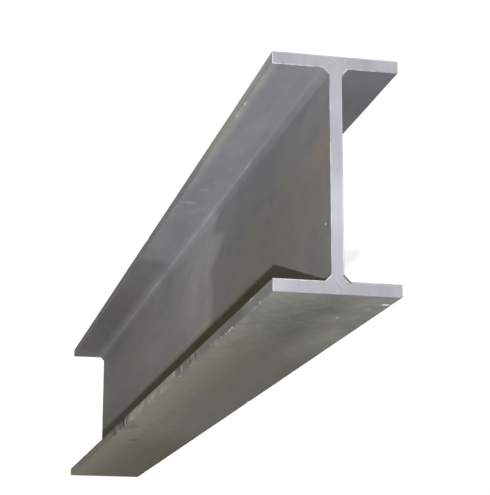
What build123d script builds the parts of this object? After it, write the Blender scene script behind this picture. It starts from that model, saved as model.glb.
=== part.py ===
"""Steel H-beam: one length of parallel-flange section, sawn square at both ends.

Millimetres. X runs along the beam, Y across its flanges and Z up through its web.
The origin is under the middle of the beam, on the face that it stands on.
"""

import os

from build123d import *

# Driving dimensions
beam_length = 2000.0
section_depth = 300.0
flange_width = 160.0
flange_thickness = 16.0
web_thickness = 16.0
root_bevel = 8.0  # slope where the web runs into a flange
root_blend = 2.0  # rounding at both ends of that slope
toe_radius = 1.0  # long edges of the flanges
saw_edge_break = 0.5  # rim of each sawn end

# Section heights, measured from the face that the beam stands on
bottom_flange_middle = flange_thickness / 2
top_flange_middle = section_depth - flange_thickness / 2
web_middle = section_depth / 2
web_height = section_depth - 2 * flange_thickness

# The beam is one rolled piece: its section is drawn at one end and run through to the other
with BuildPart() as h_beam:
    with BuildSketch(Plane.YZ.offset(-beam_length / 2)) as section:
        with Locations((0, bottom_flange_middle), (0, top_flange_middle)):
            Rectangle(flange_width, flange_thickness)
        with Locations((0, web_middle)):
            Rectangle(web_thickness, web_height)
        # From tip to tip the corners lie in four columns: toes, roots, roots, toes
        columns = section.vertices().group_by(Axis.X)
        chamfer(columns[1] + columns[2], length=root_bevel)
        # Each bevel splits its column in two, so the toes are now outside four columns of roots
        columns = section.vertices().group_by(Axis.X)
        fillet(columns[1] + columns[2] + columns[3] + columns[4], radius=root_blend)
        columns = section.vertices().group_by(Axis.X)
        fillet(columns[0] + columns[-1], radius=toe_radius)
    extrude(amount=beam_length)
    sawn_ends = h_beam.faces().filter_by(Axis.X)
    chamfer(sawn_ends.edges(), length=saw_edge_break)

h_beam.part.label = "h_beam"
os.makedirs("parts", exist_ok=True)
export_step(h_beam.part, "parts/h_beam.step")
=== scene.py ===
"""Steel H-beam: the mill skin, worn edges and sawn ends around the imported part.

Metres. X runs along the beam, Y across its flanges and Z up through its web.
The near end is at low X and the front of the web is at low Y.
"""

import math

import bpy
import numpy as np
from bpy.props import FloatProperty, FloatVectorProperty, PointerProperty
from mathutils import Matrix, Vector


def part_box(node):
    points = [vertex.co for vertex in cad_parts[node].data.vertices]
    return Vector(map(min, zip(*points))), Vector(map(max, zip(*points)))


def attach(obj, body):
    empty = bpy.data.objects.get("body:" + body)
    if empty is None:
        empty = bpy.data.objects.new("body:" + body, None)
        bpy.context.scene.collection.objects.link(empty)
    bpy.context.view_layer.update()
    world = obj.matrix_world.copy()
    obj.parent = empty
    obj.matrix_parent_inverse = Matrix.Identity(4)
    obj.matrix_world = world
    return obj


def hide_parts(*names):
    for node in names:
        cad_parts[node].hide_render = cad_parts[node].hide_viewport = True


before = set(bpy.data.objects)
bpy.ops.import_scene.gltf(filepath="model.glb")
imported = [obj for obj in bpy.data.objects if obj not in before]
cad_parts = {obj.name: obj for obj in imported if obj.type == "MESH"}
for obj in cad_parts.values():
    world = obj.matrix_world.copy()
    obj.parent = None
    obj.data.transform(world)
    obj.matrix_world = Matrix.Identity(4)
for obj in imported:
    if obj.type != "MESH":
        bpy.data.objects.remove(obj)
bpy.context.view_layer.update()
LOW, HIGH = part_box("h_beam")

bl_info = {
    "name": "Steel H-Beam",
    "version": (1, 0, 0),
    "blender": (4, 5, 0),
    "location": "View3D > Sidebar > H-Beam",
    "description": "A length of steel H-section with a mill skin, worn edges and sawn ends",
    "category": "Add Mesh",
}

MM = 0.001


# Sizes and colours


def length_prop(name, description, default):
    return FloatProperty(
        name=name, description=description, default=default, min=0.0, unit="LENGTH", precision=5
    )


def colour_prop(name, description, default):
    return FloatVectorProperty(
        name=name, description=description, default=default, min=0.0, max=1.0, size=3, subtype="COLOR"
    )


def amount_prop(name, description, default):
    return FloatProperty(name=name, description=description, default=default, min=0.0, max=10.0)


class HBeamSizes(bpy.types.PropertyGroup):
    """Sizes of the section and of its relief."""

    length: length_prop("Length", "Sawn end to sawn end", HIGH.x - LOW.x)
    width: length_prop("Width", "Across a flange, tip to tip", HIGH.y - LOW.y)
    depth: length_prop("Depth", "Outer face to outer face of the flanges", HIGH.z - LOW.z)
    flange: length_prop("Flange", "Thickness of a flange", 16 * MM)
    web: length_prop("Web", "Thickness of the web", 16 * MM)
    bevel: length_prop("Root bevel", "Slope where the web runs into a flange", 8 * MM)
    blend: length_prop("Root blend", "Rounding at both ends of that slope", 2 * MM)
    toe: length_prop("Toe radius", "Long edges of the flanges", 1 * MM)
    edge_break: length_prop("Edge break", "Rim of each sawn end", 0.5 * MM)
    ripple: length_prop("Ripple", "Height of the waves that rolling leaves in the plates", 0.12 * MM)
    burr: length_prop("Burr", "Height of the lip that the saw leaves on the rim", 0.35 * MM)


class HBeamFinish(bpy.types.PropertyGroup):
    """Colours of the steel."""

    web: colour_prop("Web", "Mill skin of the web", (0.224, 0.224, 0.226))
    inner: colour_prop("Inner faces", "Mill skin of the flanges' inner faces", (0.375, 0.375, 0.388))
    outer: colour_prop("Outer faces", "Mill skin of the flanges' outer faces", (0.167, 0.1665, 0.149))
    tip: colour_prop("Tips", "Mill skin of the flanges' tips", (0.221, 0.221, 0.229))
    root: colour_prop("Roots", "Bevels between web and flanges", (0.27, 0.27, 0.275))
    stain: colour_prop("Stain", "What an oily film leaves of the colour", (1.0, 0.965, 0.88))
    bloom: colour_prop("Bloom", "What a blue-grey scale leaves of the colour", (0.95, 0.95, 1.0))
    # Blue scale: the blue tint of the painted shade on the back's inner faces.
    blue: colour_prop("Blue scale", "What scale inside the back leaves of the colour", (0.9, 0.94, 1.0))
    rust: colour_prop("Rust", "What a breath of rust leaves of the colour", (1.0, 0.92, 0.88))
    olive: colour_prop("Olive", "What old oil leaves of the outer faces' colour", (1.0, 0.945, 0.78))
    # Oil: the olive tint of the painted shade on the web under the top flange.
    oil: colour_prop("Oil", "What oil under the top flange leaves of the colour", (1.0, 0.94, 0.64))
    bare: colour_prop("Bare steel", "Nicks and scratches", (0.7, 0.69, 0.68))
    sawn: colour_prop("Sawn face", "Fresh steel of the sawn ends", (0.32, 0.323, 0.364))
    # Burr: a real lip round the sawn ends, painted bright as a highlight.
    burr: colour_prop("Burr", "Bright lip round the sawn ends", (0.58, 0.585, 0.625))


class HBeamStage(bpy.types.PropertyGroup):
    """Floor and light."""

    floor: colour_prop("Floor", "Colour of the floor", (0.32, 0.32, 0.32))
    glow: colour_prop("Floor white", "White that the camera sees in the floor", (0.85, 0.85, 0.85))
    bounce: colour_prop("Bounce", "Light that the floor throws back on the steel", (0.3, 0.255, 0.09))
    floor_radius: length_prop("Floor radius", "How far the floor runs", 90.0)
    key: amount_prop("Key", "Strength of the lamp beside the camera", 1.56)
    rear: amount_prop("Rear", "Strength of the soft light behind", 1.3)
    ambient: amount_prop("Ambient", "Strength of the light from all round", 0.09)


# Section of the beam: the steps that each stretch of a quarter of it is divided into

OUTER_STEPS = 18
TOE_STEPS = 4
TIP_STEPS = 6
INNER_STEPS = 12
BLEND_STEPS = 3
BEVEL_STEPS = 6
WEB_STEPS = 8
ROOT_STEPS = 2 * BLEND_STEPS + BEVEL_STEPS
ZONES = ("outer", "tip", "inner", "root", "web")
HUG = 0.8 * MM  # from the end of a flat stretch to the extra point beside it

# From a tip in to the flange's middle line, at the tip's middle and by a toe, in flange thicknesses
TIP_INSET = 0.3
TOE_INSET = 0.55


def arc(centre, radius, start, end, steps):
    """Points on a circle from one angle to another, with the directions from its centre to them."""
    angle = np.radians(np.linspace(start, end, steps + 1))
    away = np.stack([np.cos(angle), np.sin(angle)], axis=1)
    return np.asarray(centre) + radius * away, away


def run(start, end, steps, hug_start=0.0, hug_end=0.0):
    """Points on a line, with an extra one close to either end where the surface starts to curve there."""
    start, end = np.asarray(start, float), np.asarray(end, float)
    span = np.linalg.norm(end - start)
    inner = steps - (hug_start > 0) - (hug_end > 0)
    share = np.linspace(hug_start / span, 1 - hug_end / span, inner + 1)
    share = np.concatenate([[0.0] * (hug_start > 0), share, [1.0] * (hug_end > 0)])
    return start + share[:, None] * (end - start)


def quarter_section(sizes):
    """A quarter of the section, from the middle of the outer face round the toes and the root to mid-web.

    Returns its edge points, their outward directions, how much each belongs to each zone, and for each a
    partner on the middle line of the plates: the flange's for its faces and the lower root, the web's for
    the rest.
    """
    half_width, half_web = sizes.width / 2, sizes.web / 2
    flange, toe, blend = sizes.flange, sizes.toe, sizes.blend
    blend_reach = blend * math.tan(math.radians(45 / 2))
    flange_end = half_web + sizes.bevel + blend_reach
    web_start = flange + sizes.bevel + blend_reach

    outer = run((0, 0), (half_width - toe, 0), OUTER_STEPS, hug_end=HUG)
    low_toe, low_toe_out = arc((half_width - toe, toe), toe, -90, 0, TOE_STEPS)
    tip = run((half_width, toe), (half_width, flange - toe), TIP_STEPS)
    high_toe, high_toe_out = arc((half_width - toe, flange - toe), toe, 0, 90, TOE_STEPS)
    inner = run((half_width - toe, flange), (flange_end, flange), INNER_STEPS, HUG, HUG)
    low_blend, low_blend_in = arc((flange_end, flange + blend), blend, -90, -135, BLEND_STEPS)
    high_blend, high_blend_in = arc((half_web + blend, web_start), blend, -135, -180, BLEND_STEPS)
    bevel = run(low_blend[-1], high_blend[0], BEVEL_STEPS)
    web = run((half_web, web_start), (half_web, sizes.depth / 2), WEB_STEPS, hug_start=HUG)

    def facing(points, across, up):
        return np.tile([across, up], (len(points), 1))

    on_outer, on_tip, on_inner, on_root, on_web = np.eye(len(ZONES))
    root_by_web = (on_root + on_web) / 2
    slope = math.sqrt(0.5)
    pieces = [
        (outer, facing(outer, 0.0, -1.0), on_outer, on_outer),
        (low_toe, low_toe_out, on_outer, on_tip),
        (tip, facing(tip, 1.0, 0.0), on_tip, on_tip),
        (high_toe, high_toe_out, on_tip, on_inner),
        (inner, facing(inner, 0.0, 1.0), on_inner, on_inner),
        (low_blend, -low_blend_in, on_inner, on_root),
        (bevel, facing(bevel, slope, slope), on_root, root_by_web),
        (high_blend, -high_blend_in, root_by_web, on_web),
        (web, facing(web, 1.0, 0.0), on_web, on_web),
    ]
    edge = np.concatenate([points[:-1] for points, *_ in pieces] + [web[-1:]])
    out = np.concatenate([ways[:-1] for _, ways, *_ in pieces] + [pieces[-1][1][-1:]])
    zone = np.concatenate([np.linspace(a, b, len(p))[:-1] for p, _, a, b in pieces] + [on_web[None]])

    to_tip = OUTER_STEPS + TOE_STEPS + TIP_STEPS // 2
    in_tip = TOE_STEPS + TIP_STEPS // 2
    inward = [half_width - TIP_INSET * flange, half_width - TOE_INSET * flange, 0]
    middle_y = np.interp(np.arange(to_tip + 1), [0, in_tip, to_tip], inward)
    rising = np.linspace(flange / 2, web_start, ROOT_STEPS // 2 + 1)[1:]
    middle = np.concatenate(
        [
            np.stack([middle_y[::-1], np.full(to_tip + 1, flange / 2)], axis=1),
            np.stack([middle_y[1:], np.full(to_tip, flange / 2)], axis=1),
            np.stack([np.zeros(len(rising)), rising], axis=1),
            np.stack([np.zeros(WEB_STEPS), web[1:, 1]], axis=1),
        ]
    )
    return edge, out, zone, middle


def whole_section(sizes):
    """The quarter section mirrored up and across: one closed ring, counter-clockwise seen from high X."""
    edge, out, zone, middle = quarter_section(sizes)

    def ring(values, up, across, lift=0.0):
        right = np.concatenate([values, (values * up + lift)[-2::-1]])
        return np.concatenate([right, (right * across)[-2:0:-1]])

    lift = np.array([0.0, sizes.depth])
    return (
        ring(edge, [1, -1], [-1, 1], lift),
        ring(out, [1, -1], [-1, 1]),
        ring(zone, 1, 1),
        ring(middle, [1, -1], [-1, 1], lift),
    )


# Relief of the skin and of the sawn ends

# Nicks in the long edges as (x from the near end, y, z, reach along, reach across, depth), in mm
NICKS = np.array(
    [
        (229, -80, 300, 9, 2.2, 0.6),
        (124, -80, 284, 7, 2.0, 0.5),
        (43, 80, 300, 6, 3.0, 0.4),
        (150, -80, 16, 6, 2.0, 0.5),
        (185, -80, 16, 6, 2.0, 0.5),
        (199, -80, 16, 6, 2.2, 0.6),
        (508, -80, 300, 14, 2.2, 0.5),
        (1150, -80, 300, 20, 2.6, 0.2),
        (1236, -80, 299, 16, 2.2, 0.5),
        (820, 80, 300, 12, 3.0, 0.7),
        (1460, 80, 0, 12, 3.0, 0.8),
        (1710, -80, 284, 10, 2.6, 0.7),
        (1330, 80, 284, 10, 2.6, 0.7),
        (640, 80, 16, 12, 2.6, 0.6),
        (1880, 80, 300, 10, 3.2, 0.9),
        (930, -80, 0, 12, 3.0, 0.7),
        (1985, -80, 300, 8, 3.5, 0.9),
        (1990, 80, 16, 8, 3.0, 0.8),
    ]
)
BARE_NICK = 0.5 * MM  # a nick this deep is bare

# Rings along the beam: some close to each sawn end, the rest even
END_RINGS = np.array([0.5, 1.2, 2.4, 4.2, 6.6]) * MM
EVEN_FROM = 10 * MM
EVEN_RINGS = 330

RIPPLE_WAVES = {"seed": 11, "longest": 700 * MM, "shortest": 120 * MM, "count": 14}
RIPPLE_FADE = 30 * MM  # over which the waves rise from nothing at a sawn end
RESTING = 0.5 * MM  # up to this far from the outermost height, a point lies on an outer face

# Rings of a sawn end, as shares of the way from the rim to the middle line
SAWN_RINGS = np.array([0.0, 0.1, 0.24, 0.5, 0.8, 1.0])[:, None]
BURR_WAVES = {"seed": 5, "longest": 90 * MM, "shortest": 12 * MM, "count": 12}
BURR_MEAN = 0.35  # of its full height
BURR_REACH = 0.06  # of the way from the rim to the middle line

TOE_WEAR = 1.6 * MM
END_WEAR = 1.2 * MM


def waves(a, b, seed, longest, shortest, count):
    """A sum of plane waves over two lengths, with seeded ways and phases, from -1 to 1 or so."""
    draw = np.random.default_rng(seed)
    pitch = np.exp(draw.uniform(math.log(shortest), math.log(longest), count))
    turn, phase = draw.uniform(0, math.pi, count), draw.uniform(0, 2 * math.pi, count)
    total = np.zeros(np.broadcast(a, b).shape)
    for p, t, f in zip(pitch, turn, phase):
        total = total + np.cos(2 * math.pi / p * (a * math.cos(t) + b * math.sin(t)) + f)
    return total * math.sqrt(2.0 / count) / 2


def nick_depths(points, length):
    """How deep the nicks go at each point: a bell of the distance from a nick's middle, longer along X."""
    depth = np.zeros(points.shape[:-1])
    for x, y, z, along, across, deep in NICKS * MM:
        away = (points - np.array([x - length / 2, y, z])) / [along, across, across]
        depth = np.maximum(depth, deep * np.exp(-2 * (away**2).sum(axis=-1)))
    return depth


def stations(sizes):
    """Places along the beam for its rings: even over most of it, and closer towards each sawn end."""
    half = sizes.length / 2
    even = np.linspace(-half + EVEN_FROM, half - EVEN_FROM, EVEN_RINGS)
    return np.concatenate([-half + END_RINGS, even, half - END_RINGS[::-1]])


def skin_rows(sizes, x, around, edge, out):
    """The skin: edge + relief * outward direction at each x; relief is the rolling waves less the nicks.

    The waves only sink on the outer faces, which the beam rests on, and fade out towards the sawn ends.
    Returns the points and how deep each is nicked.
    """
    skin = np.empty((len(x), len(edge), 3))
    skin[..., 0] = x[:, None]
    skin[..., 1:] = edge
    nicked = nick_depths(skin, sizes.length)
    ripple = sizes.ripple * waves(x[:, None], around, **RIPPLE_WAVES)
    resting = (edge[:, 1] < RESTING) | (edge[:, 1] > sizes.depth - RESTING)
    ripple = np.where(resting, -np.abs(ripple), ripple)
    fade = np.clip((sizes.length / 2 - np.abs(x)) / RIPPLE_FADE, 0, 1)[:, None]
    skin[..., 1:] += (ripple * fade - nicked)[..., None] * out
    return skin, nicked


def sawn_rows(sizes, around, edge, out, middle):
    """A sawn end: rim and middle line mixed by a share, with a burr that dies away from the rim.

    Returns the points as (y, z), how far each stands proud of the end and how far it lies in from the rim.
    """
    rim = edge - sizes.edge_break * out
    inward = middle - rim
    face = rim + SAWN_RINGS[..., None] * inward
    burr = np.clip(BURR_MEAN + waves(around, 0 * around, **BURR_WAVES), 0, 1)
    proud = sizes.burr * burr * np.exp(-SAWN_RINGS / BURR_REACH)
    return face, proud, SAWN_RINGS * np.linalg.norm(inward, axis=1)


def ring_quads(rows, middle):
    """Quads between each ring and the next, all the way round.

    By each tip the innermost faces have three corners in line, and start at the middle one to split well.
    """
    corner = np.arange(rows * len(middle)).reshape(rows, len(middle))
    a, b = corner[:-1], corner[1:]
    quads = np.stack([a, np.roll(a, -1, 1), np.roll(b, -1, 1), b], axis=-1)
    outward = np.abs(np.roll(middle[:, 0], -1)) > np.abs(middle[:, 0])
    for row, columns in ((0, outward), (-1, ~outward)):
        quads[row, columns] = np.roll(quads[row, columns], 1, axis=-1)
    return quads


def edge_wear(sizes, x, edge):
    """How worn the skin is: 1 along the toes and the sawn ends, dying away with the distance."""
    face_heights = np.array([0, sizes.flange, sizes.depth - sizes.flange, sizes.depth])
    to_face = np.abs(edge[:, 1, None] - face_heights).min(axis=1)
    to_toe = np.abs(np.abs(edge[:, 0]) - sizes.width / 2) + to_face
    to_end = sizes.length / 2 - np.abs(x)
    return np.maximum(np.exp(-to_toe / TOE_WEAR), np.exp(-to_end / END_WEAR)[:, None])


def beam_surface(sizes):
    """The whole beam: the section carried along it, closed at each end by rings that shrink to a line.

    Returns points, quads, which quads are sawn, and by name the values that the materials read at each
    point: its zone, how far it lies in from the rim, how worn it is and how deep it is nicked.
    """
    edge, out, zone, middle = whole_section(sizes)
    around = np.concatenate([[0.0], np.cumsum(np.linalg.norm(np.diff(edge, axis=0), axis=1))])
    x, half = stations(sizes), sizes.length / 2
    skin, nicked = skin_rows(sizes, x, around, edge, out)
    face, proud, inset = sawn_rows(sizes, around, edge, out, middle)
    near = np.concatenate([(-half - proud)[..., None], face], axis=-1)
    far = np.concatenate([(half + proud)[..., None], face], axis=-1)
    rows = np.concatenate([near[::-1], skin, far])

    quads = ring_quads(len(rows), middle)
    sawn = np.zeros(quads.shape[:2], bool)
    sawn[: len(face)] = True
    sawn[-len(face) :] = True

    fresh = np.zeros_like(inset)
    values = {
        "inset": np.concatenate([inset[::-1], np.zeros_like(nicked), inset]),
        "worn": np.concatenate([fresh, edge_wear(sizes, x, edge), fresh]),
        "nicked": np.concatenate([fresh, np.clip(nicked / BARE_NICK, 0, 1), fresh]),
    }
    for name, weight in zip(ZONES, zone.T):
        values[name] = np.tile(weight, (len(rows), 1))
    values = {name: value.ravel() for name, value in values.items()}
    return rows.reshape(-1, 3), quads.reshape(-1, 4), sawn.ravel(), values


# Shaders


class Wire:
    """A socket of a material's nodes, so that shader sums read as arithmetic."""

    def __init__(self, shader, socket):
        self.shader, self.socket = shader, socket

    def _math(self, operation, *values):
        return self.shader.node("ShaderNodeMath", {"operation": operation}, dict(enumerate(values)))

    def __add__(self, other):
        return self._math("ADD", self, other)

    __radd__ = __add__

    def __sub__(self, other):
        return self._math("SUBTRACT", self, other)

    def __rsub__(self, other):
        return self._math("SUBTRACT", other, self)

    def __mul__(self, other):
        return self._math("MULTIPLY", self, other)

    __rmul__ = __mul__

    def __abs__(self):
        return self._math("ABSOLUTE", self)

    def most(self, other):
        return self._math("MAXIMUM", self, other)

    def least(self, other):
        return self._math("MINIMUM", self, other)


class Shader:
    """The nodes of one material or world."""

    def __init__(self, tree):
        self.tree = tree
        self.tree.nodes.clear()

    def node(self, kind, settings=None, sockets=None, output=0):
        """Adds a node, sets it up, then sets or links its sockets, and returns one of its outputs."""
        made = self.tree.nodes.new(kind)
        for name, value in (settings or {}).items():
            setattr(made, name, value)
        for key, value in (sockets or {}).items():
            if isinstance(value, Wire):
                self.tree.links.new(value.socket, made.inputs[key])
            else:
                made.inputs[key].default_value = value
        return Wire(self, made.outputs[output]) if made.outputs else made

    def vector(self, operation, *values, output=0):
        return self.node("ShaderNodeVectorMath", {"operation": operation}, dict(enumerate(values)), output)

    def place(self):
        return self.node("ShaderNodeTexCoord", output="Object")

    def attribute(self, name):
        return self.node("ShaderNodeAttribute", {"attribute_name": name}, output="Fac")

    def axes(self, vector):
        return [self.node("ShaderNodeSeparateXYZ", sockets={0: vector}, output=i) for i in range(3)]

    def stretched(self, vector, scales):
        return self.vector("MULTIPLY", vector, scales)

    def noise(self, vector, scale, detail=3.0, roughness=0.5, distortion=0.0):
        sockets = {"Vector": vector, "Scale": scale, "Detail": detail}
        sockets.update({"Roughness": roughness, "Distortion": distortion})
        return self.node("ShaderNodeTexNoise", sockets=sockets)

    def warped(self, vector, scale, amount):
        """Places pushed about by a noise, so that what is drawn there gets a loose outline."""
        sockets = {"Vector": vector, "Scale": scale, "Detail": 3.0}
        push = self.node("ShaderNodeTexNoise", sockets=sockets, output="Color")
        push = self.vector("MULTIPLY_ADD", push, (2 * amount,) * 3, (-amount,) * 3)
        return self.vector("ADD", vector, push)

    def ramp(self, value, low, high):
        """0 at low, 1 at high and a smooth step between; low may be the greater of the two."""
        start, end = (0.0, 1.0) if low < high else (1.0, 0.0)
        sockets = {0: value, 1: min(low, high), 2: max(low, high), 3: start, 4: end}
        return self.node("ShaderNodeMapRange", {"interpolation_type": "SMOOTHSTEP"}, sockets)

    def steps(self, value, rows):
        """Ramps added up: each row is (from, to, amount), with from and to in mm."""
        return sum(self.ramp(value, start * MM, end * MM) * amount for start, end, amount in rows)

    def band(self, value, middle, reach, core=0.0):
        """1 within a core of a middle place and 0 past a reach from it, all in mm."""
        return self.ramp(abs(value - middle * MM), reach * MM, core * MM)

    def blob(self, vector, centre, reach, soft):
        """1 inside an ellipsoid and 0 outside it, with a soft edge."""
        inside = self.vector("MULTIPLY", self.vector("SUBTRACT", vector, centre), [1 / r for r in reach])
        return self.ramp(self.vector("LENGTH", inside, output="Value"), 1.0, 1.0 - soft)

    def stroke(self, vector, start, end, width):
        """1 on the straight line from start to end and 0 past half its width to either side."""
        span = np.subtract(end, start)
        ahead = self.vector("SUBTRACT", vector, start)
        share = self.vector("DOT_PRODUCT", ahead, (span / span.dot(span)).tolist(), output="Value")
        sockets = {0: span.tolist(), "Scale": share.most(0.0).least(1.0)}
        nearest = self.node("ShaderNodeVectorMath", {"operation": "SCALE"}, sockets)
        away = self.vector("LENGTH", self.vector("SUBTRACT", ahead, nearest), output="Value")
        return self.ramp(away, width / 2, width / 6)

    def mix(self, share, a, b):
        """Colours a and b mixed by a share."""
        settings = {"data_type": "RGBA", "clamp_factor": True}
        a, b = [(*c, 1.0) if isinstance(c, tuple) else c for c in (a, b)]
        return self.node("ShaderNodeMix", settings, {0: share, 6: a, 7: b}, 2)

    def shade(self, colour, amount):
        """A colour times a number that varies over the surface."""
        grey = self.node("ShaderNodeCombineXYZ", sockets={0: amount, 1: amount, 2: amount})
        return self.vector("MULTIPLY", colour, grey)

    def bump(self, height, strength, distance):
        sockets = {"Strength": strength, "Distance": distance, "Height": height}
        return self.node("ShaderNodeBump", sockets=sockets)

    def seen_straight(self):
        """1 for the camera, reflections and refractions, and 0 for light that is thrown back."""
        names = ("Is Camera Ray", "Is Glossy Ray", "Is Transmission Ray")
        camera, glossy, through = [self.node("ShaderNodeLightPath", output=name) for name in names]
        return camera.most(glossy).most(through)

    def principled(self, **sockets):
        named = {name.replace("_", " "): value for name, value in sockets.items()}
        surface = self.node("ShaderNodeBsdfPrincipled", sockets=named)
        self.node("ShaderNodeOutputMaterial", sockets={"Surface": surface})


def new_shader(name):
    material = bpy.data.materials.new(name)
    material.use_nodes = True
    return material, Shader(material.node_tree)


# Mill skin: its places are in mm, with x from the near end

# Bright marks as (x, y, z, reach in x, y and z, how bare)
MARKS = [
    # Smudges on the lower flange's inner face, and a rubbed line where its root starts
    (625, -63, 16, 13, 7, 3, 0.44),
    (625, -64, 16, 11, 19, 3, 0.26),
    (550, -53, 16, 10, 14, 3, 0.26),
    (985, -50, 16, 5, 26, 3, 0.05),
    (1028, -52, 16, 5, 24, 3, 0.07),
    (416, -16, 16, 34, 1.8, 1.8, 0.38),
    (466, -16, 16, 44, 1.8, 1.8, 0.14),
    # Flecks along that face's front edge, and one on the web
    (153, -79, 16, 5, 3.2, 3.2, 1.0),
    (167, -75, 16, 4, 3, 3, 0.3),
    (176, -79, 15, 3, 2.6, 2.6, 0.6),
    (186, -78, 16, 5, 3.2, 3.2, 0.9),
    (201, -79, 16, 5, 3.4, 3.4, 1.0),
    (207, -78, 16, 3, 2.6, 2.6, 0.5),
    (23, -8, 208, 2.9, 3, 2.6, 1.0),
    # Chips on the upper tip and along its top edge
    (113, -80, 285, 6, 2.5, 2.5, 0.9),
    (528, -80, 291, 4, 3, 7, 0.3),
    (580, -80, 292, 6, 3, 9, 0.5),
    (66, -80, 300, 9, 2.5, 2.5, 0.4),
    (100, -79, 300, 26, 2.6, 2.6, 0.14),
    (224, -80, 300, 9, 2, 2, 0.9),
    (241, -80, 300, 12, 1.8, 1.8, 0.8),
    (262, -80, 300, 8, 1.6, 1.6, 0.6),
    (291, -80, 299, 7, 1.6, 1.6, 0.5),
    (318, -80, 298, 6, 1.6, 1.6, 0.45),
    (330, -79, 299, 16, 3, 3, 0.16),
    (356, -80, 297, 8, 2, 2, 0.3),
    (600, -79, 300, 16, 2.6, 2.6, 0.24),
    # Chips in the top face
    (43, 72, 300, 7, 7, 3, 1.0),
    (129, 36, 300, 3, 2.4, 2, 0.9),
]

# Darker and lighter clouds on the top face as (x, y, z, reach in x, y and z, change of tone)
PATCHES = [
    (92, -36, 300, 24, 20, 60, -0.14),
    (66, -4, 300, 24, 20, 60, -0.1),
    (90, 24, 300, 28, 22, 60, -0.14),
    (340, -50, 300, 90, 22, 60, -0.12),
    (240, -14, 300, 60, 26, 60, -0.06),
    (400, -52, 300, 60, 20, 60, 0.12),
    (160, 12, 300, 60, 20, 60, 0.14),
    (250, 62, 300, 64, 20, 60, 0.16),
    (1093, -70, 300, 30, 8, 60, -0.4),
    (1150, -72, 300, 80, 18, 60, -0.42),
    (1348, -35, 300, 30, 9, 60, -0.35),
]

# Changes of tone as (from, to, amount): none of it up to the first place and all of it past the second
WEB_ALONG = [(400, 0, 0.3), (80, 0, 0.1), (820, 1150, -0.34), (1150, 1800, -0.32)]
WEB_PAST_LINE = [(680, 750, 0.5)]
INNER_ALONG = [(200, 0, 0.07), (400, 900, -0.1), (800, 1000, -0.09), (1100, 1500, -0.14)]
INNER_PAST_LINE = [(980, 1060, -0.25)]
LOW_TIP_ALONG = [(540, 320, 0.62), (1200, 550, 0.48), (1300, 1500, -0.14)]
LOW_TIP_FOOT_ALONG = [(300, 100, 0.5), (400, 800, -0.16)]
HIGH_TIP_ALONG = [(190, 100, 0.5)]
HIGH_TIP_FOOT_ALONG = [(200, 100, 0.25), (400, 600, -0.12), (780, 840, -0.14)]
OUTER_ALONG = [(160, 0, 0.46), (1150, 1500, -0.32)]
OUTER_ACROSS = [(-80, 10, -0.66), (40, 80, -0.08)]
OUTER_ACROSS_NEAR = [(0, 60, 0.54), (-50, -70, 0.1)]

# Stretches of the front's upper tip as (from, to, fade at either end, change of tone)
TIP_STRETCHES = [(310, 420, 40, 0.2), (505, 560, 20, 0.16)]
HEAD_STRETCHES = [(440, 640, 40, 0.18), (650, 790, 30, -0.14)]
FOOT_STRETCHES = [(650, 790, 30, 0.2)]
GOUGED_STRETCHES = [(437, 640, 40, 0.06), (1135, 1310, 40, -0.26)]
RUBBED_STRETCH = (650, 1095, 40)

# A breath of rust on the web beside the near end
RUST_PLACE = (LOW.x + 40 * MM, -8 * MM, 112 * MM)
RUST_REACH = (75 * MM, 6 * MM, 42 * MM)

# How soft the outlines of marks, patches and rust are: 1 is soft right to the middle
MARK_SOFT = 0.7
PATCH_SOFT = 0.8
RUST_SOFT = 0.9

SEAM = 1 * MM  # to either side of where front meets back and the lower half meets the upper
WAVER = 120 * MM  # how much the clouds move a line where the tone changes along the beam
RAGGED = 16 * MM  # how much the finer clouds move the worn rim of the top face
LOOSE = 30 * MM  # how far a noise pushes the patches' outlines about


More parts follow.
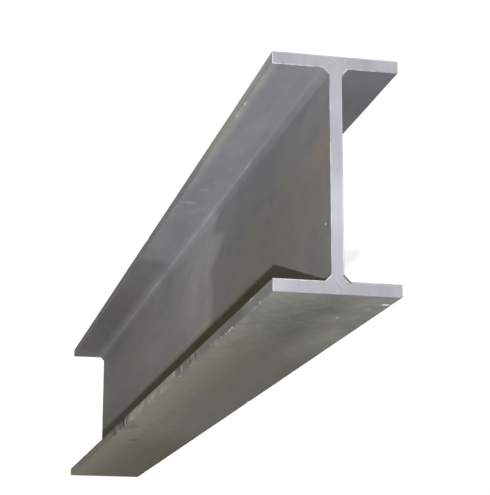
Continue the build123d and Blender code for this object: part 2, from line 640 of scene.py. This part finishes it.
class Skin:
    """What the layers of the mill skin share: places on the beam, zones, noises and a tip's wear."""

    def __init__(self, shader, sizes):
        self.s, self.sizes = shader, sizes
        self.place = shader.place()
        self.x, self.y, self.z = shader.axes(self.place)
        self.along = self.x + sizes.length / 2
        self.front = shader.ramp(self.y, SEAM, -SEAM)
        self.back = 1.0 - self.front
        self.upper = shader.ramp(self.z, sizes.depth / 2 - SEAM, sizes.depth / 2 + SEAM)
        self.zone = {name: shader.attribute(name) for name in ZONES}
        self.outer, self.tip, self.inner, self.root, self.web = self.zone.values()
        self.high_tip = self.tip * self.upper * self.front
        self.rusty = shader.blob(self.place, RUST_PLACE, RUST_REACH, RUST_SOFT)
        self.add_noises(shader)
        self.add_tip_wear(shader)

    def add_noises(self, s):
        """Clouds from wide to fine, grain, streaks of the rolls, smears, slanting gouges and flecks."""
        drawn_out = s.stretched(self.place, (0.4, 1.0, 1.0))
        self.wide = s.noise(self.place, 3.5, detail=2, distortion=0.4)
        self.cloud = s.noise(drawn_out, 16.0, detail=4, distortion=0.5)
        self.patch = s.noise(drawn_out, 60.0, detail=4, roughness=0.55, distortion=0.3)
        self.grain = s.noise(self.place, 700.0, roughness=0.65)
        self.rolled = s.noise(s.stretched(self.place, (2.5, 120.0, 120.0)), 1.0, roughness=0.6)
        smeared = s.stretched(self.place, (26.0, 40.0, 40.0))
        self.smear = s.noise(smeared, 1.0, detail=4, roughness=0.58, distortion=1.0)
        leaning = self.x * 40.0 + self.z * 24.0
        slanted = s.node("ShaderNodeCombineXYZ", sockets={0: leaning, 1: self.z * 22.0})
        self.gouges = s.noise(slanted, 1.0, detail=2, distortion=1.2)
        self.flecks = s.noise(slanted, 2.2, roughness=0.6, distortion=0.8)
        self.wavy = self.along + (self.cloud - 0.5) * WAVER

    def add_tip_wear(self, s):
        """Where the upper tip, with some of the top face's rim, is gouged and where it is rubbed."""
        half_width = self.sizes.width / 2
        ragged = abs(self.y) + (self.patch - 0.5) * RAGGED
        rim = s.ramp(ragged, half_width - 8 * MM, half_width - 1 * MM) * self.outer
        rim = rim * self.upper * self.front
        gouged = sum(self.stretch(*ends) for *ends, _ in GOUGED_STRETCHES)
        self.gouged = gouged * (self.high_tip + rim * 0.3) * s.ramp(self.cloud, 0.4, 0.56)
        self.gouged_tone = self.stretches(GOUGED_STRETCHES) * (self.high_tip + rim * 0.3)
        rubbed_and_highlit = self.stretch(*RUBBED_STRETCH) * (self.high_tip + rim * 0.2)
        self.rubbed_and_highlit = rubbed_and_highlit * (0.7 + s.ramp(self.patch, 0.35, 0.65) * 0.6)

    def past(self, start, end):
        """0 at the first place along the beam and 1 at the second, in mm from the near end."""
        return self.s.ramp(self.along, start * MM, end * MM)

    def up(self, start, end):
        """0 at the first height and 1 at the second, in mm."""
        return self.s.ramp(self.z, start * MM, end * MM)

    def outward(self, start, end):
        """0 at the first distance from the web's middle and 1 at the second, in mm, to either side."""
        return self.s.ramp(abs(self.y), start * MM, end * MM)

    def by_tip(self, start, end):
        """0 at the first distance in from the tips and 1 at the second, in mm."""
        half_width = self.sizes.width / 2
        return self.s.ramp(abs(self.y), half_width - start * MM, half_width - end * MM)

    def stretch(self, start, end, fade):
        """1 between two places along the beam, in mm, and 0 past a fade outside them."""
        return self.past(start - fade, start) * self.past(end + fade, end)

    def stretches(self, rows):
        """Stretches added up: each row is (from, to, fade, amount), in mm."""
        return sum(self.stretch(*ends) * amount for *ends, amount in rows)

    def spot(self, place, mark, soft):
        """Where one of the marks or patches lies: 1 at its middle and 0 past its reach."""
        x, y, z, *reach = mark[:6]
        centre = (x * MM - self.sizes.length / 2, y * MM, z * MM)
        return self.s.blob(place, centre, [r * MM for r in reach], soft)

    def crease(self, reach):
        """1 along the lines where the bevels meet the flanges, fading out over a reach in mm."""
        sizes = self.sizes
        beside = abs(abs(self.y) - (sizes.web / 2 + sizes.bevel))
        above = abs(abs(self.z - sizes.depth / 2) - (sizes.depth / 2 - sizes.flange))
        return self.s.ramp(beside.most(above), reach * MM, reach / 6 * MM)

    def under_flange_shade(self):
        """1 on the web under the top flange but not by the near end: where shade is painted, dark and
        olive, along the lamp's shadow.
        """
        return self.up(186, 200) * self.past(300, 450)


def zone_colour(skin, finish):
    """Each kind of face has its own colour, and they run into each other over the toes and the roots."""
    s = skin.s
    total = (0.0, 0.0, 0.0)
    for name, share in skin.zone.items():
        total = s.vector("ADD", total, s.shade(tuple(getattr(finish, name)), share))
    return total


def film_share(skin):
    """How thick the oily film is: in clouds, thicker up the near web and by the tips, thin by the end."""
    by_end = skin.past(35, 10) * 0.2 + skin.past(140, 20) * skin.up(190, 260) * 0.3
    near_web = skin.front * skin.web * skin.past(740, 660)
    film = skin.wide * 0.45 + skin.cloud * 0.4 + skin.patch * 0.15
    film = film + near_web * (skin.up(70, 130) * 0.26 - 0.18 - by_end)
    film = film + skin.inner * skin.by_tip(12, 3) * 0.1
    return film - (skin.inner + skin.root) * skin.past(1100, 700) * 0.1


def skin_tint(skin, finish):
    """What films, scale, rust and old oil leave of the colour, with the tints of painted shade under the
    top flange and inside the back, each laid over the last by its share.
    """
    s = skin.s
    film = film_share(skin)
    stained = s.ramp(film, 0.44, 0.62) * (1.0 - (skin.web + skin.outer) * 0.5 - skin.tip * 0.8)
    bloomed = s.ramp(film, 0.54, 0.4) * (1.0 - skin.outer * 0.6)
    to_front = s.ramp(skin.y, 20 * MM, -50 * MM)
    oiled = skin.past(220, 450) * (0.3 + to_front * 0.5) + skin.past(1000, 1500) * 0.6
    oiled = oiled * (skin.outer + skin.high_tip * 0.5) * (0.6 + skin.cloud * 0.8)
    layers = [
        (stained, finish.stain),
        (bloomed, finish.bloom),
        # Painted shade: the back's inner faces are tinted blue.
        (skin.back * skin.inner, finish.blue),
        (skin.rusty, finish.rust),
        (oiled, finish.olive),
        # Painted shade: the web under the top flange is tinted olive.
        (skin.under_flange_shade() * skin.web * skin.front, finish.oil),
    ]
    tint = (1.0, 1.0, 1.0)
    for share, colour in layers:
        tint = s.mix(share, tint, tuple(colour))
    return tint


def web_tone(skin):
    """The front of the web: lighter by the near end and past a wavy line across it, darker further along,
    with painted shade under the top flange.
    """
    s = skin.s
    tone_line = skin.wavy + s.band(skin.z, 70, 40) * 80 * MM + skin.up(40, 20) * 60 * MM
    tone = s.steps(skin.along, WEB_ALONG) + s.steps(tone_line, WEB_PAST_LINE)
    tone = tone + skin.up(110, 40) * skin.past(1100, 800) * 0.17
    tone = tone + s.band(skin.z, 90, 50, 10) * skin.stretch(300, 850, 80) * 0.06
    tone = tone - skin.up(130, 175) * skin.past(600, 900) * 0.13
    # Painted shade: under the top flange the web is set dark, deepening the lamp's shadow there.
    oily = -0.33 - skin.past(900, 1300) * 0.13
    return tone + (oily - tone) * skin.under_flange_shade()


def inner_tone(skin):
    """The front's lower inner face: darker along the beam, paler beside its root and along its lip."""
    s = skin.s
    tone = s.steps(skin.along, INNER_ALONG) + s.steps(skin.wavy, INNER_PAST_LINE)
    tone = tone + skin.past(900, 1100) * skin.outward(40, 16) * 0.2
    tone = tone + skin.stretch(140, 220, 60) * skin.outward(56, 30) * 0.08
    return tone + skin.past(1000, 100) * skin.by_tip(14, 0) * 0.34


def low_tip_tone(skin):
    """The front's lower tip: lighter towards the near end, its foot apart, with painted shade along its
    bottom edge.
    """
    s = skin.s
    tone = s.steps(skin.along, LOW_TIP_ALONG)
    tone = tone + skin.up(7, 5) * s.steps(skin.along, LOW_TIP_FOOT_ALONG)
    # Painted shade along the bottom edge.
    return tone - skin.up(4.2, 2.6) * (0.7 - skin.past(200, 500) * 0.3)


def front_tone(skin):
    """The front, in stretches of different tone: web, lower inner face, lower tip and roots."""
    web, inner = web_tone(skin), inner_tone(skin)
    tone = skin.web * web + skin.root * (web + inner) * 0.5
    tone = tone + (1.0 - skin.upper) * (skin.inner * inner + skin.tip * low_tip_tone(skin))
    return tone * skin.front


def back_shade_tone(skin):
    """The back's inner faces, darker as painted shade, and a little less so by the near end."""
    return skin.back * skin.inner * (skin.past(100, 0) * 0.12 - 0.48)


def outer_tone(skin):
    """The outer faces: lighter along the front and by the near end, with painted shade along the back toe.
    """
    s = skin.s
    tone = 0.54 + s.steps(skin.y, OUTER_ACROSS) + s.steps(skin.along, OUTER_ALONG)
    tone = tone + skin.past(500, 250) * s.steps(skin.y, OUTER_ACROSS_NEAR)
    tone = tone + skin.past(900, 1100) * skin.outward(30, 0) * 0.1
    # Painted shade along the back toe.
    return (tone - skin.back * skin.by_tip(3, 1) * 0.25) * skin.outer


def root_highlight_and_shade(skin):
    """The roots: a painted highlight along their creases, brighter in patches, and painted shade where the
    bevels run into the web.
    """
    # Painted highlight along the creases, stronger in patches.
    rubbed_and_highlit = skin.s.ramp(skin.wide * 0.6 + skin.cloud * 0.4, 0.4, 0.56) * skin.past(1360, 1160)
    rubbed_and_highlit = rubbed_and_highlit * (skin.past(300, 460) * 0.35 + skin.past(600, 680) * 0.65)
    tone = skin.crease(4) * (0.03 + rubbed_and_highlit * 0.22)
    # Painted highlight: a wider glow beside the front's lower crease, over one stretch.
    glow = skin.crease(12) * skin.inner * skin.front
    tone = tone + glow * skin.stretch(670, 930, 50) * 0.12
    # Painted shade where the bevels run into the web.
    return tone - skin.root * skin.web * (0.5 + skin.past(100, 300) * 0.4)


def toe_shade_tone(skin):
    """The toes, darker than the faces that they join: painted shade where they turn away from the lamp."""
    return skin.tip * (skin.outer + skin.inner) * -1.1


def patch_tone(skin):
    """Clouds with loose outlines on the top face."""
    loose = skin.s.warped(skin.place, 30.0, LOOSE)
    tone = sum(skin.spot(loose, patch, PATCH_SOFT) * patch[-1] for patch in PATCHES)
    return tone * (skin.outer + skin.tip)


def high_tip_tone(skin):
    """The front's upper tip: in stretches, some only at its head or foot, rubbed bright, gouged dark."""
    s, z, top = skin.s, skin.z, skin.sizes.depth
    head = s.ramp(z, top - 7 * MM, top - 2 * MM)
    foot = s.ramp(z, top - 9 * MM, top - 13 * MM)
    tone = s.steps(skin.along, HIGH_TIP_ALONG) + skin.stretches(TIP_STRETCHES)
    tone = tone + head * skin.stretches(HEAD_STRETCHES)
    tone = tone + foot * (s.steps(skin.along, HIGH_TIP_FOOT_ALONG) + skin.stretches(FOOT_STRETCHES))
    tone = tone * skin.high_tip + skin.rubbed_and_highlit * 0.85 + skin.gouged_tone
    return tone - skin.gouged * s.ramp(skin.gouges, 0.52, 0.4) * 0.36


def rust_tone(skin):
    """A breath of rust, which lightens the web."""
    return skin.rusty * skin.web * 0.16


# Painted shade and highlights are among these layers: all of the toes', the back inner faces' and the
# roots', and parts of the front's, the outer faces' and the lower tip's.
TONES = (front_tone, back_shade_tone, outer_tone, root_highlight_and_shade, toe_shade_tone, patch_tone, high_tip_tone, rust_tone)


def cloud_share(skin):
    """By what share clouds, streaks and grain lighten or darken the skin, and smears the outer faces."""
    clouds = (skin.cloud - 0.5) * 0.4 + (skin.patch - 0.5) * 0.18
    clouds = clouds + (skin.rolled - 0.5) * 0.08 + (skin.grain - 0.5) * 0.2
    return clouds + (skin.smear - 0.5) * skin.outer * (0.25 + skin.past(500, 100) * 0.55)


def bare_share(skin):
    """How bare the metal is: on worn edges, in nicks and gouges, where rubbed and at the bright marks."""
    s, grain = skin.s, skin.grain
    bare = s.attribute("worn") * s.ramp(skin.patch * 0.5 + grain * 0.5, 0.5, 0.7) * 0.14
    bare = bare.most(s.attribute("nicked") * s.ramp(grain, 0.3, 0.6) * 0.5)
    bare = bare.most(skin.gouged * s.ramp(skin.gouges, 0.56, 0.66) * 0.36)
    bare = bare.most(skin.rubbed_and_highlit * s.ramp(skin.flecks, 0.54, 0.68) * 0.3)
    grainy = s.ramp(grain, 0.25, 0.5)
    for mark in MARKS:
        bare = bare.most(skin.spot(skin.place, mark, MARK_SOFT) * grainy * mark[-1])
    return bare


def mill_skin(finish, sizes):
    """Mill skin: scale and oil films in clouds, streaks along the beam, grain, bare metal where worn."""
    material, s = new_shader("mill_skin")
    skin = Skin(s, sizes)
    tone = 1.0 + sum(part(skin) for part in TONES)
    colour = s.vector("MULTIPLY", zone_colour(skin, finish), skin_tint(skin, finish))
    colour = s.shade(colour, tone * (1.0 + cloud_share(skin)))
    bare = bare_share(skin)
    height = skin.grain * 0.35 + skin.patch * 0.5 + skin.rolled * 0.25
    s.principled(
        Base_Color=s.mix(bare, colour, tuple(finish.bare)),
        Roughness=0.72 + (skin.cloud - 0.5) * 0.2 + (skin.grain - 0.5) * 0.14 - bare * 0.3,
        Metallic=bare * 0.9,
        Specular_IOR_Level=0.05,
        Normal=s.bump(height, 0.25, 0.4 * MM),
    )
    return material


# Sawn steel: its points are (y, z) in mm

# Faint lines where web and flange meet, each from point to point, then a dark one and a pore
JOINT_LINES = [
    ((-15.8, 14.1), (-10.9, 10.4)),
    ((-10.9, 10.4), (-4.5, 3.3)),
    ((-4.5, 3.3), (-0.2, 5.6)),
    ((-0.2, 5.6), (2.2, 9.2)),
    ((5.1, 14.5), (12.7, 5.6)),
    ((-1.4, 282.9), (5.7, 291.6)),
]
JOINT_CRACK = ((-2.2, 284.9), (5.2, 294.8))
PORE = (-0.1, 9.0)
JOINT_WIDTH = 1.6 * MM
CRACK_WIDTH = 1.4 * MM
PORE_RADIUS = 0.9 * MM

# Changes of tone across the flanges, in the same form as the mill skin's
LOW_FLANGE_ACROSS = [(-30, -80, -0.055)]
HIGH_FLANGE_ACROSS = [(0, 45, -0.075), (-45, -75, 0.19), (55, 72, 0.07)]


def sawn_tone(s, y, z):
    """How light the sawn face is: the flanges a little darker than the web, each with paler stretches, and
    a painted sheen on the web.
    """
    on_top = s.ramp(z, 100 * MM, 200 * MM)
    on_flange = s.ramp(abs(z - HIGH.z / 2), 120 * MM, 140 * MM)
    low = s.steps(y, LOW_FLANGE_ACROSS) - s.band(y, 30, 30, 10) * 0.075 - 0.09
    high = s.steps(y, HIGH_FLANGE_ACROSS) - 0.11
    # Painted sheen: the web paler about two thirds of the way up.
    web = s.band(z, 192, 55, 10) * 0.16 - s.band(z, 112, 40, 5) * 0.06
    return web + on_flange * (low + (high - low) * on_top)


def on_end(point):
    """A point of the lists above as a place on a sawn end, where X doesn't count."""
    return [0.0, *np.multiply(point, MM)]


def sawn_steel(finish):
    """Sawn steel: straight saw lines up the face, a pale cloudy painted sheen and a burr round the rim
    painted bright as a highlight.
    """
    material, s = new_shader("sawn_steel")
    place = s.place()
    _, y, z = s.axes(place)
    flat = s.stretched(place, (0.0, 1.0, 1.0))
    inset, root = s.attribute("inset"), s.attribute("root")
    lines = s.noise(s.stretched(place, (1.0, 900.0, 14.0)), 1.0, roughness=0.6)
    coarse = s.noise(s.stretched(place, (1.0, 190.0, 5.0)), 1.0, detail=2)
    cloud = s.noise(place, 38.0, roughness=0.55, distortion=0.4)
    grain = s.noise(place, 1400.0, detail=2, roughness=0.6)

    tone = 1.0 + (lines - 0.5) * 0.1 + (coarse - 0.5) * 0.12
    tone = tone + (cloud - 0.5) * 0.14 + (grain - 0.5) * 0.1
    colour = s.shade(tuple(finish.sawn), tone + sawn_tone(s, y, z))
    # Painted highlight: the burr round the rim, brightest towards the front and along the roots, faint by
    # the outer faces.
    rim = s.ramp(inset, 1.3 * MM, 0.3 * MM)
    light = rim * s.ramp(cloud * 0.6 + coarse * 0.4 - y * 1.5, 0.4, 0.7)
    light = light * (1.0 - s.attribute("outer") * 0.75)
    light = light.most(rim * root * 0.7)
    for start, end in JOINT_LINES:
        line = s.stroke(flat, on_end(start), on_end(end), JOINT_WIDTH)
        light = light.most(line * s.ramp(cloud, 0.3, 0.6) * 0.17)
    colour = s.mix(light, colour, tuple(finish.burr))

    start, end = JOINT_CRACK
    crack = s.stroke(flat, on_end(start), on_end(end), CRACK_WIDTH)
    pore = s.blob(flat, on_end(PORE), [1.0, PORE_RADIUS, PORE_RADIUS], 0.7)
    # Painted shadow: a dark line along the rim of the back's upper root.
    root_shadow = s.ramp(inset, 1.9 * MM, 1.2 * MM) * s.ramp(root, 0.1, 0.4)
    root_shadow = root_shadow * s.ramp(y, 0.0, 4 * MM) * s.ramp(z, 100 * MM, 200 * MM)
    colour = s.shade(colour, 1.0 - (crack * 0.22).most(pore * 0.5).most(root_shadow * 0.86))

    height = lines * 0.6 + coarse * 0.4 + grain * 0.2
    s.principled(
        Base_Color=colour,
        Roughness=0.55 + (lines - 0.5) * 0.2 + (cloud - 0.5) * 0.15,
        Metallic=0.25,
        Specular_IOR_Level=0.2,
        Normal=s.bump(height, 0.2, 0.2 * MM),
    )
    return material


def studio_floor(stage):
    """A floor that is white to the camera and in reflections, and throws only a little light back."""
    material, s = new_shader("studio_floor")
    straight = s.seen_straight()
    patch = s.noise(s.place(), 1.5, detail=2)
    colour = s.mix(straight, tuple(stage.bounce), tuple(stage.floor))
    s.principled(
        Base_Color=s.shade(colour, 0.99 + patch * 0.02),
        Roughness=0.9,
        Specular_IOR_Level=0.0,
        Emission_Color=s.mix(straight, (0.0, 0.0, 0.0), tuple(stage.glow)),
        Emission_Strength=1.0,
    )
    return material


# Objects

WELD_GRID = 1e-7
SHARP_ANGLE = math.radians(32)


def mesh_object(name, points, faces):
    mesh = bpy.data.meshes.new(name)
    mesh.from_pydata(points.tolist(), [], faces)
    piece = bpy.data.objects.new(name, mesh)
    bpy.context.scene.collection.objects.link(piece)
    return piece


def weld(points, quads, values):
    """Joins points that lie on each other, as both sides of a sawn end do along the middle line."""
    grid = np.round(points / WELD_GRID).astype(np.int64)
    _, first, index = np.unique(grid, axis=0, return_index=True, return_inverse=True)
    return points[first], index.reshape(-1)[quads], {name: value[first] for name, value in values.items()}


class HBEAM_OT_beam(bpy.types.Operator):
    """Adds the beam, with its mill skin and its sawn ends"""

    bl_idname = "h_beam.beam"
    bl_label = "Beam"
    bl_options = {"REGISTER", "UNDO"}

    def execute(self, context):
        sizes, finish = context.scene.h_beam_sizes, context.scene.h_beam_finish
        points, quads, sawn, values = beam_surface(sizes)
        points, quads, values = weld(points, quads, values)
        piece = mesh_object("beam", points, quads.tolist())
        mesh = piece.data
        mesh.polygons.foreach_set("use_smooth", np.ones(len(quads), bool))
        for name, value in values.items():
            mesh.attributes.new(name, "FLOAT", "POINT").data.foreach_set("value", value)
        mesh.materials.append(mill_skin(finish, sizes))
        mesh.materials.append(sawn_steel(finish))
        mesh.polygons.foreach_set("material_index", sawn.astype(np.int32))
        mesh.set_sharp_from_angle(angle=SHARP_ANGLE)
        mesh.update()
        if mesh.validate():
            raise RuntimeError("the beam's mesh has bad faces")
        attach(piece, "root")
        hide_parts("h_beam")
        return {"FINISHED"}


# Stage: heading from X towards Y, dip below level, roll and the lamps' widths are in degrees

CAMERA_PLACE = (-2.77409, -0.51482, 0.71766)
CAMERA_HEADING = 12.752
CAMERA_DIP = 14.436
CAMERA_ROLL = 180.144
CAMERA_LENS = 116.24
CAMERA_SENSOR = 36.0
CAMERA_CLIP = (0.05, 300.0)
KEY_WAY = (0.9286, 0.2333, -0.2895)
KEY_WIDTH = 0.8
REAR_WAY = (-0.77, -0.63, -0.03)
REAR_WIDTH = 16.0
FLOOR_SPOKES = 96
FLOOR_RINGS = 8
FLOOR_DROP = 0.1 * MM


def add_sun(name, way, strength, width):
    """A distant lamp that shines along a way; at strength 1 a face square to it shows its own colour."""
    lamp = bpy.data.lights.new(name, "SUN")
    lamp.energy, lamp.angle = strength * math.pi, math.radians(width)
    lamp_object = bpy.data.objects.new(name, lamp)
    way = np.asarray(way) / np.linalg.norm(way)
    side = np.cross([0.0, 1.0, 0.0], way)
    side /= np.linalg.norm(side)
    up = np.cross(-way, side)
    lamp_object.matrix_world = Matrix(np.stack([side, up, -way], axis=1).tolist()).to_4x4()
    bpy.context.scene.collection.objects.link(lamp_object)


class HBEAM_OT_stage(bpy.types.Operator):
    """Adds the floor, the lights and the camera"""

    bl_idname = "h_beam.stage"
    bl_label = "Stage"
    bl_options = {"REGISTER", "UNDO"}

    def execute(self, context):
        scene, stage = context.scene, context.scene.h_beam_stage
        self.add_floor(stage)
        self.add_lights(scene, stage)
        self.add_camera(scene)
        scene.view_settings.view_transform = "Standard"
        return {"FINISHED"}

    def add_floor(self, stage):
        """A disc just under the beam, of rings that are each twice as far out as the last."""
        turn = np.linspace(0, 2 * math.pi, FLOOR_SPOKES + 1)[:-1]
        radius = stage.floor_radius * 0.5 ** np.arange(FLOOR_RINGS)[::-1]
        ring = np.stack([np.cos(turn), np.sin(turn), 0 * turn], axis=1)
        points = (radius[:, None, None] * ring[None]).reshape(-1, 3) - [0, 0, FLOOR_DROP]
        corner = np.arange(len(points)).reshape(len(radius), len(turn))
        a, b = corner[:-1], corner[1:]
        quads = np.stack([a, b, np.roll(b, -1, 1), np.roll(a, -1, 1)], axis=-1).reshape(-1, 4)
        floor = mesh_object("floor", points, quads.tolist() + [corner[0].tolist()])
        floor.data.materials.append(studio_floor(stage))

    def add_lights(self, scene, stage):
        """A hard lamp beside the camera, a soft one behind the beam and a little light from all round."""
        add_sun("key", KEY_WAY, stage.key, KEY_WIDTH)
        add_sun("rear", REAR_WAY, stage.rear, REAR_WIDTH)
        scene.world = bpy.data.worlds.new("studio")
        scene.world.use_nodes = True
        s = Shader(scene.world.node_tree)
        strength = stage.ambient + s.seen_straight() * (1.0 - stage.ambient)
        sky = s.node("ShaderNodeBackground", sockets={"Color": (1, 1, 1, 1), "Strength": strength})
        s.node("ShaderNodeOutputWorld", sockets={"Surface": sky})

    def add_camera(self, scene):
        """A camera above the near end, rolled by half a turn."""
        camera = bpy.data.objects.new("camera", bpy.data.cameras.new("camera"))
        camera.data.lens, camera.data.sensor_width = CAMERA_LENS, CAMERA_SENSOR
        camera.data.clip_start, camera.data.clip_end = CAMERA_CLIP
        heading = Matrix.Rotation(math.radians(CAMERA_HEADING - 90), 4, "Z")
        dip = Matrix.Rotation(math.radians(90 - CAMERA_DIP), 4, "X")
        roll = Matrix.Rotation(math.radians(CAMERA_ROLL), 4, "Z")
        camera.matrix_world = Matrix.Translation(CAMERA_PLACE) @ heading @ dip @ roll
        scene.collection.objects.link(camera)
        scene.camera = camera


class HBEAM_PT_panel(bpy.types.Panel):
    """Lists the beam's sizes, colours and steps"""

    bl_idname = "HBEAM_PT_panel"
    bl_label = "H-Beam"
    bl_space_type = "VIEW_3D"
    bl_region_type = "UI"
    bl_category = "H-Beam"

    def draw(self, context):
        for operator in (HBEAM_OT_beam, HBEAM_OT_stage):
            self.layout.operator(operator.bl_idname)
        scene = context.scene
        for group in (scene.h_beam_sizes, scene.h_beam_finish, scene.h_beam_stage):
            box = self.layout.box()
            for name in group.__annotations__:
                box.prop(group, name)


CLASSES = (HBeamSizes, HBeamFinish, HBeamStage, HBEAM_OT_beam, HBEAM_OT_stage, HBEAM_PT_panel)


def register():
    for item in CLASSES:
        bpy.utils.register_class(item)
    bpy.types.Scene.h_beam_sizes = PointerProperty(type=HBeamSizes)
    bpy.types.Scene.h_beam_finish = PointerProperty(type=HBeamFinish)
    bpy.types.Scene.h_beam_stage = PointerProperty(type=HBeamStage)


def unregister():
    del bpy.types.Scene.h_beam_stage
    del bpy.types.Scene.h_beam_finish
    del bpy.types.Scene.h_beam_sizes
    for item in reversed(CLASSES):
        bpy.utils.unregister_class(item)


def main():
    register()
    bpy.ops.h_beam.beam()
    bpy.ops.h_beam.stage()


if __name__ == "__main__":
    main()
